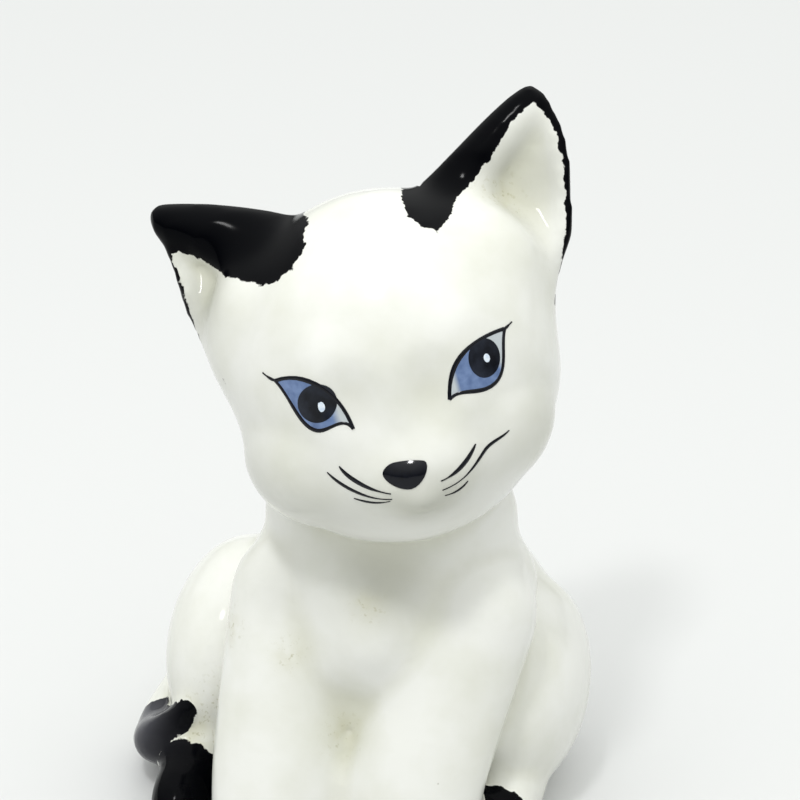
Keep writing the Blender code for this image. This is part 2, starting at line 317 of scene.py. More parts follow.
class Ear:
    """The outline of one ear in the head's axes, and the coils along its edges."""

    def __init__(self, side):
        self.side = side
        # The tip's radius, or the radius at which the coils stop short of it.
        self.blunt, self.least = (0.0016, 0) if side > 0 else (0, 0.0018)
        if side > 0:
            tip = mm(33.5, 8, 36.9)
            self.inner = [mm(3, 4, 23), mm(15.5, 5, 28), mm(25.5, 6, 36), tip]
            self.outer = [mm(27, 0, -2), mm(35.5, 1, 12), mm(41.6, 4, 33), tip]
        else:
            tip = mm(-33.7, 8, 36.6)
            self.inner = [mm(-3, 4, 24), mm(-14, 5, 31.5), mm(-25, 6, 34.5), tip]
            self.outer = [mm(-27.5, 0, -5), mm(-33, 1, 11), mm(-29, 4, 24), tip]

    def section(self, share):
        """Centre of the inner coil, of the outer coil, their radii, and the way to the ear's back."""
        inner, outer = bezier(self.inner, share), bezier(self.outer, share)
        width = outer - inner
        across = width.normalized()
        back = (Vector((0, 1, 0)) - across * across.y).normalized()
        room = width.length / 2
        if self.side > 0:
            thick = min((5.8 - 3 * share) / 1000, room)
        else:
            thick = min((6.6 - 4.6 * share**1.8) / 1000, room)
        thin = min((1.9 - 0.2 * share) / 1000, room)
        start, end = inner + across * thick, outer - across * thin
        return start, end, max(thick, self.blunt), thin, back

    def coils(self, steps):
        """The lumps of both coils."""
        lumps = []
        for step in range(steps + 1):
            start, end, thick, thin, _ = self.section(step / steps)
            if thick < self.least:
                break
            lumps.append((start, Vector((thick,) * 3)))
            lumps.append((end, Vector((thin,) * 3)))
        return lumps

    def root_fill(self):
        """The clay that carries the forehead up into the ear's dish."""
        return [(mm(self.side * 19.5, -3, 12), mm(9, 9, 12))]

    def slab_ring(self, share):
        """The closed outline of the slab between the coils, dished at the front."""
        start, end, thick, thin, back = self.section(share)
        dish = 0.1 * (end - start).length
        front, rear = [], []
        for step in range(9):
            place = step / 8
            swell = 4 * place * (1 - place)
            spine = start.lerp(end, place) + back * dish * swell
            front.append(spine - back * 0.0009)
            rear.append(spine + back * (thick + (thin - thick) * place) * 0.95)
        return front + rear[::-1]


EARS = {1: Ear(1), -1: Ear(-1)}
# Clay pressed forward where the forehead runs up into each dish: a spot, the push and its reach.
EAR_PRESSES = [
    (mm(-24.5, -3, 10), mm(-1, -2.6, 0), 0.010),
    (mm(-26.5, 1, 19), mm(-0.3, -2.2, 0), 0.009),
    (mm(25.5, -2, 12), mm(0.6, -1.8, 0), 0.010),
    (mm(27, 1, 21), mm(0, -1.4, 0), 0.009),
]


# ---- modelling helpers ----
def deselect():
    """Leaves edit mode with nothing selected."""
    if bpy.context.mode != "OBJECT":
        bpy.ops.object.mode_set(mode="OBJECT")
    bpy.ops.object.select_all(action="DESELECT")


def activate(obj):
    """Selects one object alone and makes it active."""
    deselect()
    obj.hide_set(False)
    obj.select_set(True)
    bpy.context.view_layer.objects.active = obj


def apply_modifier(obj, kind, **settings):
    """Adds a modifier with those settings and applies it."""
    activate(obj)
    modifier = obj.modifiers.new(kind.title(), kind)
    for name, value in settings.items():
        setattr(modifier, name, value)
    bpy.ops.object.modifier_apply(modifier=modifier.name)


def start_clay(name):
    """An empty mesh object, open in edit mode."""
    deselect()
    obj = bpy.data.objects.new(name, bpy.data.meshes.new(name))
    bpy.context.scene.collection.objects.link(obj)
    activate(obj)
    bpy.ops.object.mode_set(mode="EDIT")
    return obj


def add_lumps(lumps, axes, fineness=4):
    """Adds each lump to the mesh that is being edited, in those axes."""
    turn = axes.to_euler()
    for centre, radii in lumps:
        bpy.ops.mesh.primitive_ico_sphere_add(
            subdivisions=fineness, radius=1, location=axes @ centre, rotation=turn, scale=radii
        )


def add_slab(obj, ear, axes):
    """Adds the slab of an ear to a mesh, as rings that are bridged and capped."""
    bpy.ops.object.mode_set(mode="OBJECT")
    clay = bmesh.new()
    rings = []
    for step in range(19):
        if ear.section(step / 19)[2] < ear.least:
            break
        ring = [clay.verts.new(axes @ point) for point in ear.slab_ring(step / 19)]
        rings.append(ring)
    faces = [clay.faces.new(rings[0]), clay.faces.new(rings[-1][::-1])]
    for ring, following in zip(rings, rings[1:]):
        for index in range(len(ring)):
            after = (index + 1) % len(ring)
            corners = (ring[index], following[index], following[after], ring[after])
            faces.append(clay.faces.new(corners))
    bmesh.ops.recalc_face_normals(clay, faces=faces)
    clay.from_mesh(obj.data)
    clay.to_mesh(obj.data)
    clay.free()
    bpy.ops.object.mode_set(mode="EDIT")


def corners_of(obj):
    """The mesh's points as rows of a table."""
    table = np.empty(len(obj.data.vertices) * 3)
    obj.data.vertices.foreach_get("co", table)
    return table.reshape(-1, 3)


def fade(distance, start, end):
    """1 up to start and 0 past end, with a soft turn between them."""
    share = np.clip((end - distance) / (end - start), 0, 1)
    return share * share * (3 - 2 * share)


def wipe(obj, passes, weights):
    """Wipes the clay smooth that many times, as strongly at each point as its weight says."""
    group = obj.vertex_groups.new(name="wiped")
    steps = 16
    for step in range(1, steps + 1):
        chosen = np.flatnonzero(np.round(weights * steps) == step)
        group.add(chosen.tolist(), step / steps, "REPLACE")
    apply_modifier(obj, "SMOOTH", factor=0.5, iterations=passes, vertex_group="wiped")
    obj.vertex_groups.remove(obj.vertex_groups["wiped"])


def near_line(points, start, end, inner, outer):
    """Weights that fade out with the distance from a line between two points."""
    start, end = np.array(start), np.array(end)
    run = end - start
    share = np.clip((points - start) @ run / (run @ run), 0, 1)
    distance = np.linalg.norm(points - start - share[:, None] * run, axis=1)
    return fade(distance, inner, outer)


def close_clay(obj, wipes):
    """Joins the lumps of the mesh into one skin and wipes it smooth."""
    bpy.ops.object.mode_set(mode="OBJECT")
    voxel = bpy.context.scene.kitten_clay.voxel
    apply_modifier(obj, "REMESH", mode="VOXEL", voxel_size=voxel)
    apply_modifier(obj, "SMOOTH", factor=0.5, iterations=wipes)


# How often each place is wiped over.
BODY_WIPES, BACK_WIPES, EAR_WIPES, MUZZLE_WIPES = 12, 140, 110, 45


def wipe_blends(obj):
    """Wipes over the body, the roots of the ears and the muzzle, where the lumps show."""
    wipe(obj, BODY_WIPES, fade(corners_of(obj)[:, 2], 0.056, 0.064))
    nape, rump = SEAT @ mm(3, 15, 56), SEAT @ mm(2, 24, 38)
    wipe(obj, BACK_WIPES, near_line(corners_of(obj), nape, rump, 0.013, 0.023))
    axes = head_axes()
    press_all(obj, axes, EAR_PRESSES)
    for side in EARS:
        low, high = axes @ mm(side * 27, -3, 3), axes @ mm(side * 18, -4, 22)
        wipe(obj, EAR_WIPES, near_line(corners_of(obj), low, high, 0.006, 0.012))
    muzzle = axes @ mm(0, -24, -12)
    wipe(obj, MUZZLE_WIPES, near_line(corners_of(obj), muzzle, muzzle + mm(0, 0, 0.1), 0.010, 0.016))


def press(obj, spot, push, reach):
    """Pushes the clay nearest a spot, and the clay around it in a soft edit."""
    deselect()
    distances = np.linalg.norm(corners_of(obj) - np.array(spot), axis=1)
    chosen = np.zeros(len(distances), bool)
    chosen[distances.argmin()] = True
    activate(obj)
    obj.data.vertices.foreach_set("select", chosen)
    bpy.ops.object.mode_set(mode="EDIT")
    bpy.ops.transform.translate(
        value=push,
        use_proportional_edit=True,
        proportional_edit_falloff="SMOOTH",
        proportional_size=reach,
    )
    bpy.ops.object.mode_set(mode="OBJECT")


def press_all(obj, axes, presses):
    """Presses the clay at each spot of those axes, with its push and reach."""
    turn = axes.to_3x3()
    for spot, push, reach in presses:
        press(obj, axes @ spot, turn @ push, reach)


# Hollows at the collar and beside the breast, the breast itself and the groove between the legs.
CHEST_PRESSES = [
    (mm(7, -21, 53), mm(0, 1.6, 0.3), 0.012),
    (mm(-8.6, -22, 46), mm(0, 0.8, 0), 0.011),
    (mm(19, -18, 47), mm(0, 0.8, 0), 0.01),
    (mm(4, -27, 42), mm(0, -1.8, 0.3), 0.012),
    (mm(1, -26, 31), mm(0, 1, 0), 0.008),
]
# Hollows beside the bridge of the nose, cheeks and brows brought forward, and a small chin.
FACE_PRESSES = [
    (mm(-6.5, -26, 1), mm(0.3, 1.3, 0), 0.008),
    (mm(6, -26, 0), mm(-0.3, 1.3, 0), 0.008),
    (mm(-13, -22, -4), mm(0, -0.5, 0), 0.006),
    (mm(13, -22, -4), mm(0, -0.5, 0), 0.006),
    (mm(-11, -24, 9), mm(0, -0.6, 0.2), 0.008),
    (mm(14, -22, 9), mm(0, -0.6, 0.2), 0.008),
    (mm(0, -27, -17), mm(0, -1, -0.4), 0.0045),
]


# ---- the castings, cut from the clay along the shapes of their sockets ----
def block(name, low, high):
    """A box between two corners, in the seat axes."""
    deselect()
    bpy.ops.mesh.primitive_cube_add(size=1, location=SEAT @ ((low + high) / 2), scale=high - low)
    box = bpy.context.object
    box.name = name
    bpy.ops.object.transform_apply(location=True, rotation=True, scale=True)
    return box


def rod(name, radius, start, end):
    """A cylinder between two points of the seat axes."""
    deselect()
    run = end - start
    bpy.ops.mesh.primitive_cylinder_add(
        vertices=48,
        radius=radius,
        depth=run.length,
        location=SEAT @ ((start + end) / 2),
        rotation=run.to_track_quat("Z", "Y").to_euler(),
    )
    tube = bpy.context.object
    tube.name = name
    bpy.ops.object.transform_apply(location=True, rotation=True, scale=True)
    return tube


def form_of(name, lumps, axes, swell):
    """A closed form of lumps, each swollen by a little."""
    obj = start_clay(name)
    bigger = mm(swell, swell, swell)
    add_lumps([(centre, radii + bigger) for centre, radii in lumps], axes, 3)
    bpy.ops.object.mode_set(mode="OBJECT")
    apply_modifier(obj, "REMESH", mode="VOXEL", voxel_size=0.0013)
    apply_modifier(obj, "SMOOTH", factor=0.5, iterations=4)
    return obj


def copy_of(obj, name):
    """A copy with its own mesh."""
    copy = obj.copy()
    copy.data = obj.data.copy()
    copy.name = name
    bpy.context.scene.collection.objects.link(copy)
    return copy


def cut(obj, tool, operation):
    """Keeps or removes what is inside the tool."""
    apply_modifier(obj, "BOOLEAN", solver="MANIFOLD", operation=operation, object=tool)


def keep_largest(obj):
    """Drops the loose crumbs that a cut leaves."""
    activate(obj)
    name = obj.name
    bpy.ops.object.mode_set(mode="EDIT")
    bpy.ops.mesh.select_all(action="SELECT")
    bpy.ops.mesh.separate(type="LOOSE")
    bpy.ops.object.mode_set(mode="OBJECT")
    bodies = sorted(bpy.context.selected_objects, key=lambda body: len(body.data.vertices))
    for crumb in bodies[:-1]:
        bpy.data.objects.remove(crumb)
    bodies[-1].name = name
    return bodies[-1]


def casting(name, node, clay, within, without):
    """One casting: the clay inside the forms of within and outside those of without."""
    obj = copy_of(clay, name)
    for form in within:
        cut(obj, form, "INTERSECT")
    for form in without:
        cut(obj, form, "DIFFERENCE")
    obj = keep_largest(obj)
    apply_modifier(
        obj,
        "DATA_TRANSFER",
        object=clay,
        use_loop_data=True,
        data_types_loops={"CUSTOM_NORMAL"},
        loop_mapping="POLYINTERP_NEAREST",
    )
    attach(obj, BODY)
    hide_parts(node)
    return obj


TORSO_HOLLOW = [(mm(0, 9, 23), mm(18, 18, 17)), (mm(2, -1, 40), mm(10.5, 8, 17))]
# How far a form is swollen to cut its neighbours' sockets, in millimetres.
SOCKET_ROOM = 0.9
# Height above which clay outside the head's form is ear, in millimetres.
EAR_SPLIT = 74


def hollow_forms():
    """The hollows of the head and the torso, the throat between them and the vent."""
    throat_low = mm(3, -3, 45)
    return {
        "head": form_of("head_hollow", [(mm(0, 0, 0), mm(24, 22.5, 23.5))], head_axes(), 0),
        "torso": form_of("torso_hollow", TORSO_HOLLOW, SEAT, 0),
        "throat": rod("throat", 0.0065, throat_low, Vector((0.0045, -0.006, 0.0865))),
        "vent": rod("vent", 0.0045, mm(0, 8, -10), mm(0, 8, 15)),
    }


class KITTEN_OT_castings(bpy.types.Operator):
    """Cuts the clay into its castings"""

    bl_idname = "kitten.castings"
    bl_label = "Castings"

    def execute(self, context):
        clay = bpy.data.objects["whole_clay"]
        before = set(bpy.data.objects)
        hollows = hollow_forms()
        fills = [lump for ear in EARS.values() for lump in ear.root_fill()]
        head = form_of("head_form", head_lumps() + fills, head_axes(), SOCKET_ROOM)
        above = block("above_neck", mm(-80, -80, 54), mm(80, 80, 160))
        made = []

        def cast(part, node, within, without):
            made.append(casting(f"glazed_{part}", node, clay, within, without))

        head_holes = [hollows["head"], hollows["throat"]]
        cast("head", "head_casting", [above, head], head_holes)
        for side, name in SIDES.items():
            ends = sorted((6.5, 80 * side))
            room = block("ear_room", mm(ends[0], -80, EAR_SPLIT), mm(ends[1], 80, 160))
            cast(f"{name}_ear", f"{name}_ear", [room], [head])
        taken = [head]
        for kind, lumps_of, top in (("foreleg", foreleg_lumps, 38), ("haunch", haunch_lumps, 60)):
            low = block("limb_room", mm(-80, -80, -20), mm(80, 80, top))
            found = []
            for side in (-1, 1):
                limb = f"{SIDES[side]}_{kind}"
                form = form_of(f"{limb}_form", lumps_of(side), SEAT, SOCKET_ROOM)
                cut(form, low, "INTERSECT")
                cast(limb, limb, [form], taken + found)
                found.append(form)
            taken += found
        tail = form_of("tail_form", tail_lumps(), SEAT, SOCKET_ROOM)
        cast("tail", "tail", [tail], taken)
        below = block("below_head", mm(-80, -80, -20), mm(80, 80, EAR_SPLIT))
        holes = [hollows[name] for name in ("torso", "throat", "vent")]
        cast("torso", "torso_casting", [below], [*taken, tail, *holes])
        for old in set(bpy.data.objects) - before - set(made):
            bpy.data.objects.remove(old)
        return {"FINISHED"}


class KITTEN_OT_clay(bpy.types.Operator):
    """Models all of the clay in one piece"""

    bl_idname = "kitten.clay"
    bl_label = "Clay"

    def execute(self, context):
        clay = start_clay("whole_clay")
        axes = head_axes()
        add_lumps(head_lumps(), axes)
        add_lumps(torso_lumps(), SEAT)
        for side, ear in EARS.items():
            add_lumps(ear.coils(40), axes, 3)
            add_slab(clay, ear, axes)
            add_lumps(ear.root_fill(), axes)
            add_lumps(haunch_lumps(side), SEAT)
            add_lumps(foreleg_lumps(side), SEAT, 3)
        add_lumps(tail_lumps(), SEAT, 3)
        close_clay(clay, context.scene.kitten_clay.wipes)
        wipe_blends(clay)
        press_all(clay, SEAT, CHEST_PRESSES)
        press_all(clay, axes, FACE_PRESSES)
        apply_modifier(clay, "SUBSURF", levels=1, render_levels=1)
        ground = block("ground", mm(-80, -80, -40), mm(80, 80, 0))
        cut(clay, ground, "DIFFERENCE")
        bpy.data.objects.remove(ground)
        activate(clay)
        bpy.ops.object.shade_smooth_by_angle(angle=math.radians(35))
        return {"FINISHED"}


# ---- where the black enamel goes, as outlines brushed on the head seen from its front ----
EAR_PATCH = {
    1: [(9, 45), (9, 27), (9.2, 25.2), (11.2, 23.2), (13.3, 21.8), (15.3, 22.7), (17.5, 24.6), (20, 25.7),
        (23, 28), (25.5, 29.8), (27.6, 32.1), (29.3, 33.8), (31.5, 34.7), (33.5, 35.6), (36.5, 36), (50, 45)],
    -1: [(-7.4, 50), (-7.4, 28.6), (-6.4, 28), (-7.9, 26.5), (-7.6, 25.3), (-9.2, 23.6), (-11.5, 21.9),
         (-13.8, 20.9), (-16.7, 20.8), (-20.2, 22), (-22.5, 22.6), (-25.2, 24.6), (-27.9, 26.6), (-30, 27.7),
         (-34, 28), (-50, 28), (-50, 50)],
}
EAR_BACK = {
    1: [(9, 50), (9, 27), (12, 20), (20, 12), (26, 4), (29, -1), (33, 2), (50, 10), (50, 50)],
    -1: [(-7.4, 50), (-7.4, 28.6), (-12, 18), (-19, 9), (-24, 1), (-27, -6), (-31, -5), (-50, 10), (-50, 50)],
}
# How wide the thin rim is along each outer edge, in millimetres, and how far it goes round the slab.
RIM_WIDTH = {1: 1.5, -1: 0.5}
RIM_DEPTH = 2.6
# How far behind the slab's middle the black of the back starts, and of the tip, and the tip's reach.
BACK_START, TIP_START, TIP_REACH = 1.1, 0.2, 9
# How far the black of a hind paw and of the tail goes past their lumps, and the y where each ends.
PAW_SWELL, PAW_END = 2.1, -18
TAIL_SWELL, TAIL_END = 1.2, -3
# The depth in the black that stands for plain white.
UNPAINTED = -5.0


def depth_inside(places, outline):
    """How far each place is inside a closed outline, in millimetres, less than 0 outside it."""
    corners = np.array(outline, float)
    nearest = np.full(len(places), 1e9)
    inside = np.zeros(len(places), bool)
    for start, end in zip(corners, np.roll(corners, -1, axis=0)):
        run = end - start
        share = np.clip((places - start) @ run / (run @ run), 0, 1)
        gaps = np.linalg.norm(places - start - share[:, None] * run, axis=1)
        nearest = np.minimum(nearest, gaps)
        spans = (start[1] > places[:, 1]) != (end[1] > places[:, 1])
        rise = (places[:, 1] - start[1]) / (end[1] - start[1] or 1)
        inside ^= spans & (places[:, 0] < start[0] + rise * run[0])
    return np.where(inside, nearest, -nearest)


def within_axes(points, axes):
    """Points in other axes, in millimetres."""
    turn = np.array(axes.inverted())
    return (points @ turn[:3, :3].T + turn[:3, 3]) * 1000


def tree_of(points):
    """A search tree of those points."""
    tree = KDTree(len(points))
    for index, point in enumerate(points):
        tree.insert(point, index)
    tree.balance()
    return tree


def behind_ear(places, ear):
    """How far each place is behind the middle of an ear's slab, and how near it is to the outer edge."""
    spots, ways = [], []
    for step in range(49):
        start, end, _, _, back = ear.section(step / 48)
        for place in range(9):
            spots.append(start.lerp(end, place / 8) * 1000)
            ways.append(back)
    tree = tree_of(spots)
    nearest = [tree.find(place)[1] for place in places]
    spots, ways = np.array(spots), np.array(ways)
    behind = ((places - spots[nearest]) * ways[nearest]).sum(axis=1)
    edge = np.array([bezier(ear.outer, share / 60) * 1000 for share in range(7, 61)])
    gaps = places[:, None, [0, 2]] - edge[None, :, [0, 2]]
    return behind, np.linalg.norm(gaps, axis=2).min(axis=1)


def ear_black(points):
    """Depth inside the black of both ears: a brushed patch in front, the whole back, and the thin rim."""
    places = within_axes(points, head_axes())
    flat = places[:, [0, 2]]
    depth = np.full(len(points), UNPAINTED)
    for side, ear in EARS.items():
        near = places[:, 0] * side > 2
        behind, gap = behind_ear(places[near], ear)
        back = np.minimum(depth_inside(flat[near], EAR_BACK[side]), behind - BACK_START)
        tip = TIP_REACH - np.linalg.norm(places[near] - np.array(ear.inner[-1]) * 1000, axis=1)
        back = np.maximum(back, np.minimum(tip, behind - TIP_START))
        rim = np.minimum(RIM_WIDTH[side] - gap, RIM_DEPTH - np.abs(behind))
        front = depth_inside(flat[near], EAR_PATCH[side])
        depth[near] = np.maximum(front, np.maximum(back, rim))
    return depth


def near_lumps(points, lumps, swell):
    """Depth inside the lumps of a limb, in millimetres."""
    places = within_axes(points, SEAT)
    depth = np.full(len(points), -1e9)
    for centre, radii in lumps:
        centre, radii = np.array(centre) * 1000, np.array(radii) * 1000 + swell
        reach = np.linalg.norm((places - centre) / radii, axis=1)
        depth = np.maximum(depth, (1 - reach) * radii.min())
    return depth


def paw_black(points, side):
    """Depth inside the black of a hind paw."""
    places = within_axes(points, SEAT)
    paw = near_lumps(points, haunch_lumps(side)[1:], PAW_SWELL)
    return np.minimum(paw, PAW_END - places[:, 1])


def tail_black(points):
    """Depth inside the black of the tail: all of its end."""
    places = within_axes(points, SEAT)
    lumps = [(centre, radii * TAIL_SWELL) for centre, radii in tail_lumps()]
    return np.minimum(near_lumps(points, lumps, 0), TAIL_END - places[:, 1])


# Stains that also paint shade, laid in the groove between the forelegs, beside the breast, at the collar,
# where the tail meets the haunch, and in the ear dishes: middle, and size in millimetres.
STAINS_AND_SHADES = [
    (SEAT @ mm(0.5, -25, 25), 3.5),
    (SEAT @ mm(-20.6, -20.8, 41), 3),
    (SEAT @ mm(-9, -25, 39.5), 2.5),
    (SEAT @ mm(4.3, -24, 50), 2.5),
    (SEAT @ mm(-29.5, -16.5, 16.5), 5.5),
    (SEAT @ mm(-25, -15, 20), 5),
]
EAR_STAINS_AND_SHADES = [(mm(24, 2, 22), 4), (mm(20, -1, 16), 4.5), (mm(-24, 0, 14), 4)]
# Painted shade: spots that grey the white under the nose, along the jaw and cheeks and in the ear dishes,
# where shade falls: middle, reach in millimetres and strength.
HEAD_PAINTED_SHADES = [
    (mm(0, -28, -19), 8, 0.6),
    (mm(-17, -20, -17), 9, 0.34),
    (mm(8, -26, -22), 9, 0.26),
    (mm(-25, -12, -6), 9, 0.3),
    (mm(22, -16, -12), 9, 0.24),
    (mm(29, 2, 24), 7, 0.7),
    (mm(23, -1, 17), 4, 0.2),
    (mm(-26, 0, 19), 6, 0.85),
    (mm(-23, -4, 15), 5, 0.4),
]
# Painted shade at the collar under the chin: middle, reach in millimetres and strength.
SEAT_PAINTED_SHADES = [(mm(6, -20, 53), 9, 0.66), (mm(-12, -19, 52), 7, 0.22)]
# Painted reflection: where the tail's black is greyed as if light reflected off its side: middle, reach in
# millimetres and strength.
TAIL_PAINTED_REFLECTIONS = [(mm(-44, -7, 8), 6.5, 0.9), (mm(-39.5, -13, 13), 5.5, 0.6), (mm(-40, -15, 5), 5, 0.5)]


def painted_light_strength(points, *groups):
    """How strongly painted light lies at each point, painted shade on the white and a painted reflection on
    the tail's black, from groups of axes and spots.
    """
    strength = np.zeros(len(points))
    for axes, light_spots in groups:
        places = within_axes(points, axes)
        for spot, reach, most in light_spots:
            distance = np.linalg.norm(places - np.array(spot) * 1000, axis=1)
            strength += most * np.exp(-((distance / reach) ** 2))
    return np.clip(strength, 0, 0.9)


def stained_and_shaded(points):
    """How strong the stains and the painted shade in them are at each point."""
    marks = [(np.array(spot), size) for spot, size in STAINS_AND_SHADES]
    marks += [(np.array(head_axes() @ spot), size) for spot, size in EAR_STAINS_AND_SHADES]
    strength = np.zeros(len(points))
    for spot, size in marks:
        distance = np.linalg.norm(points - spot, axis=1) * 1000
        strength = np.maximum(strength, np.exp(-((distance / size) ** 2)))
    return strength


def hollows_of(clay):
    """A search tree of the clay's points, and how far each lies below the smoothed-over clay, in millimetres:
    its depth in the hollows, for the painted shade there.
    """
    points = corners_of(clay)
    softer = copy_of(clay, "softer_clay")
    apply_modifier(softer, "SMOOTH", factor=0.5, iterations=260)
    ways = np.empty(len(points) * 3)
    clay.data.vertices.foreach_get("normal", ways)
    depths = ((corners_of(softer) - points) * ways.reshape(-1, 3)).sum(axis=1) * 1000
    bpy.data.objects.remove(softer)
    return tree_of(points), depths


def set_values(obj, name, values):
    """Stores one number for each point of the mesh."""
    layer = obj.data.attributes.new(name, "FLOAT", "POINT")
    layer.data.foreach_set("value", values.astype(np.float32))


# ---- finishes ----
class Nodes:
    """Makes and joins the nodes of one material or world."""

    def __init__(self, owner):
        self.tree = owner.node_tree

    def new(self, kind):
        """A new node."""
        return self.tree.nodes.new("ShaderNode" + kind)

    def feed(self, source, socket):
        """Joins an output to a socket, or sets the socket to a number or a colour."""
        if isinstance(source, tuple):
            socket.default_value = (*source, 1)
        elif isinstance(source, (int, float)):
            socket.default_value = source
        else:
            self.tree.links.new(source, socket)

    def maths(self, operation, first, second):
        """An operation on two outputs or numbers."""
        made = self.new("Math")
        made.operation = operation
        self.feed(first, made.inputs[0])
        self.feed(second, made.inputs[1])
        return made.outputs[0]

    def times(self, first, second):
        """The product of two outputs or numbers."""
        return self.maths("MULTIPLY", first, second)

    def ramp(self, value, low, high, start=0.0, end=1.0):
        """A straight run from start to end as a value goes from low to high."""
        made = self.new("MapRange")
        for socket, source in zip(made.inputs, (value, low, high, start, end)):
            self.feed(source, socket)
        return made.outputs[0]

    def blend(self, share, first, second):
        """One colour fading to another."""
        made = self.new("Mix")
        made.data_type = "RGBA"
        for index, source in ((0, share), (6, first), (7, second)):
            self.feed(source, made.inputs[index])
        return made.outputs[2]

    def texture(self, kind, **settings):
        """A texture laid on the clay itself."""
        place, made = self.new("TexCoord"), self.new(kind)
        for name, value in settings.items():
            made.inputs[name].default_value = value
        self.feed(place.outputs["Object"], made.inputs["Vector"])
        return made

    def noise(self, scale, detail=3, rough=0.5):
        """Cloudy noise, as a number from 0 to 1."""
        return self.texture("TexNoise", Scale=scale, Detail=detail, Roughness=rough).outputs["Fac"]

    def attribute(self, name):
        """A number stored on the mesh."""
        made = self.new("Attribute")
        made.attribute_name = name
        return made.outputs["Fac"]

    def pinholes(self, scale, radius, share_kept):
        """Scattered specks where the glaze has crawled back, 1 in a speck."""
        cells = self.texture("TexVoronoi", Scale=scale)
        speck = self.ramp(cells.outputs["Distance"], radius * scale, radius * scale * 0.5)
        chosen = self.new("SeparateColor")
        self.feed(cells.outputs["Color"], chosen.inputs[0])
        return self.times(speck, self.maths("LESS_THAN", chosen.outputs[0], share_kept))


class Finish(Nodes):
    """A new material and its shader."""

    def __init__(self, name):
        self.material = bpy.data.materials.new(name)
        self.material.use_nodes = True
        super().__init__(self.material)
        self.shader = self.tree.nodes["Principled BSDF"]

    def bump(self, height, strength, distance):
        """Raises the surface by a height."""
        made = self.new("Bump")
        self.feed(strength, made.inputs["Strength"])
        self.feed(distance, made.inputs["Distance"])
        self.feed(height, made.inputs["Height"])
        self.feed(made.outputs[0], self.shader.inputs["Normal"])

    def look(self, colour, rough, specular=None):
        """The material, with its colour, roughness and strength of reflection set."""
        self.feed(colour, self.shader.inputs["Base Color"])
        self.feed(rough, self.shader.inputs["Roughness"])
        if specular is not None:
            self.feed(specular, self.shader.inputs["Specular IOR Level"])
        return self.material


def glaze_finish():
    """White tin glaze with brushed black enamel where the paint says, painted shade greying the white in the
    hollows, under the head and in the ear dishes, and a painted reflection greying the tail's black.
    """
    glaze = Finish("kitten_glaze")
    ragged = glaze.times(glaze.maths("SUBTRACT", glaze.noise(650), 0.5), 1.6)
    paint = glaze.maths("ADD", glaze.attribute("black"), ragged)
    black = glaze.ramp(paint, -0.07, 0.07)
    cloudy = glaze.ramp(glaze.noise(55, 5), 0.42, 0.66)
    white = glaze.blend(cloudy, colour_of("white"), colour_of("clouded"))
    # Painted shade: the white greyed under the nose, jaw and cheeks, in the ear dishes and at the collar,
    # made uneven by noise.
    veil = glaze.ramp(glaze.noise(90, 4), 0.2, 0.8, 0.75, 1.25)
    white = glaze.blend(glaze.times(glaze.attribute("veil"), veil), white, colour_of("shaded_white"))
    # Painted shade in the hollows, where the glaze also pools: darker and yellower the deeper the clay lies
    # below its smoothed-over skin.
    pooled_and_shaded = glaze.ramp(glaze.attribute("hollow"), 0.02, 0.75, 0, 0.6)
    white = glaze.blend(pooled_and_shaded, white, colour_of("pooled_and_shaded"))
    # Stains, clouded by noise and flecked, laid where shade falls, so partly painted shade.
    soft = glaze.ramp(glaze.noise(330, 4), 0.35, 0.7, 0.05, 0.42)
    white = glaze.blend(glaze.times(glaze.attribute("stain"), soft), white, colour_of("stain"))
    flecks = glaze.ramp(glaze.noise(1300, 2), 0.6, 0.68)
    flecks = glaze.times(glaze.attribute("stain"), flecks)
    white = glaze.blend(glaze.times(flecks, 0.5), white, colour_of("fleck"))
    specks = glaze.pinholes(95, 0.00028, 0.16)
    white = glaze.blend(glaze.times(specks, 0.6), white, colour_of("pinhole"))
    thin = glaze.ramp(paint, 0.0, 0.9)
    enamel = glaze.blend(thin, colour_of("edge"), colour_of("enamel"))
    # Painted reflection: the tail's black greyed where light would reflect off its side.
    enamel = glaze.blend(glaze.attribute("sheen"), enamel, colour_of("sheen"))
    colour = glaze.blend(black, white, enamel)
    wipes = glaze.ramp(glaze.noise(120, 3), 0.3, 0.7, 0.07, 0.16)
    specular = glaze.ramp(black, 0, 1, 0.13, 0.04)
    raised = glaze.times(black, 0.35)
    peel = glaze.times(glaze.noise(260, 2), 0.35)
    height = glaze.maths("SUBTRACT", glaze.maths("ADD", raised, peel), specks)
    glaze.bump(height, 0.35, 0.00012)
    return glaze.look(colour, wipes, specular)


def foot_finish():
    """The bare, slightly sandy foot."""
    foot = Finish("bare_foot")
    grain = foot.noise(900, 5, 0.7)
    foot.bump(grain, 0.6, 0.0002)
    return foot.look(foot.blend(grain, colour_of("foot"), colour_of("sand")), 0.85)


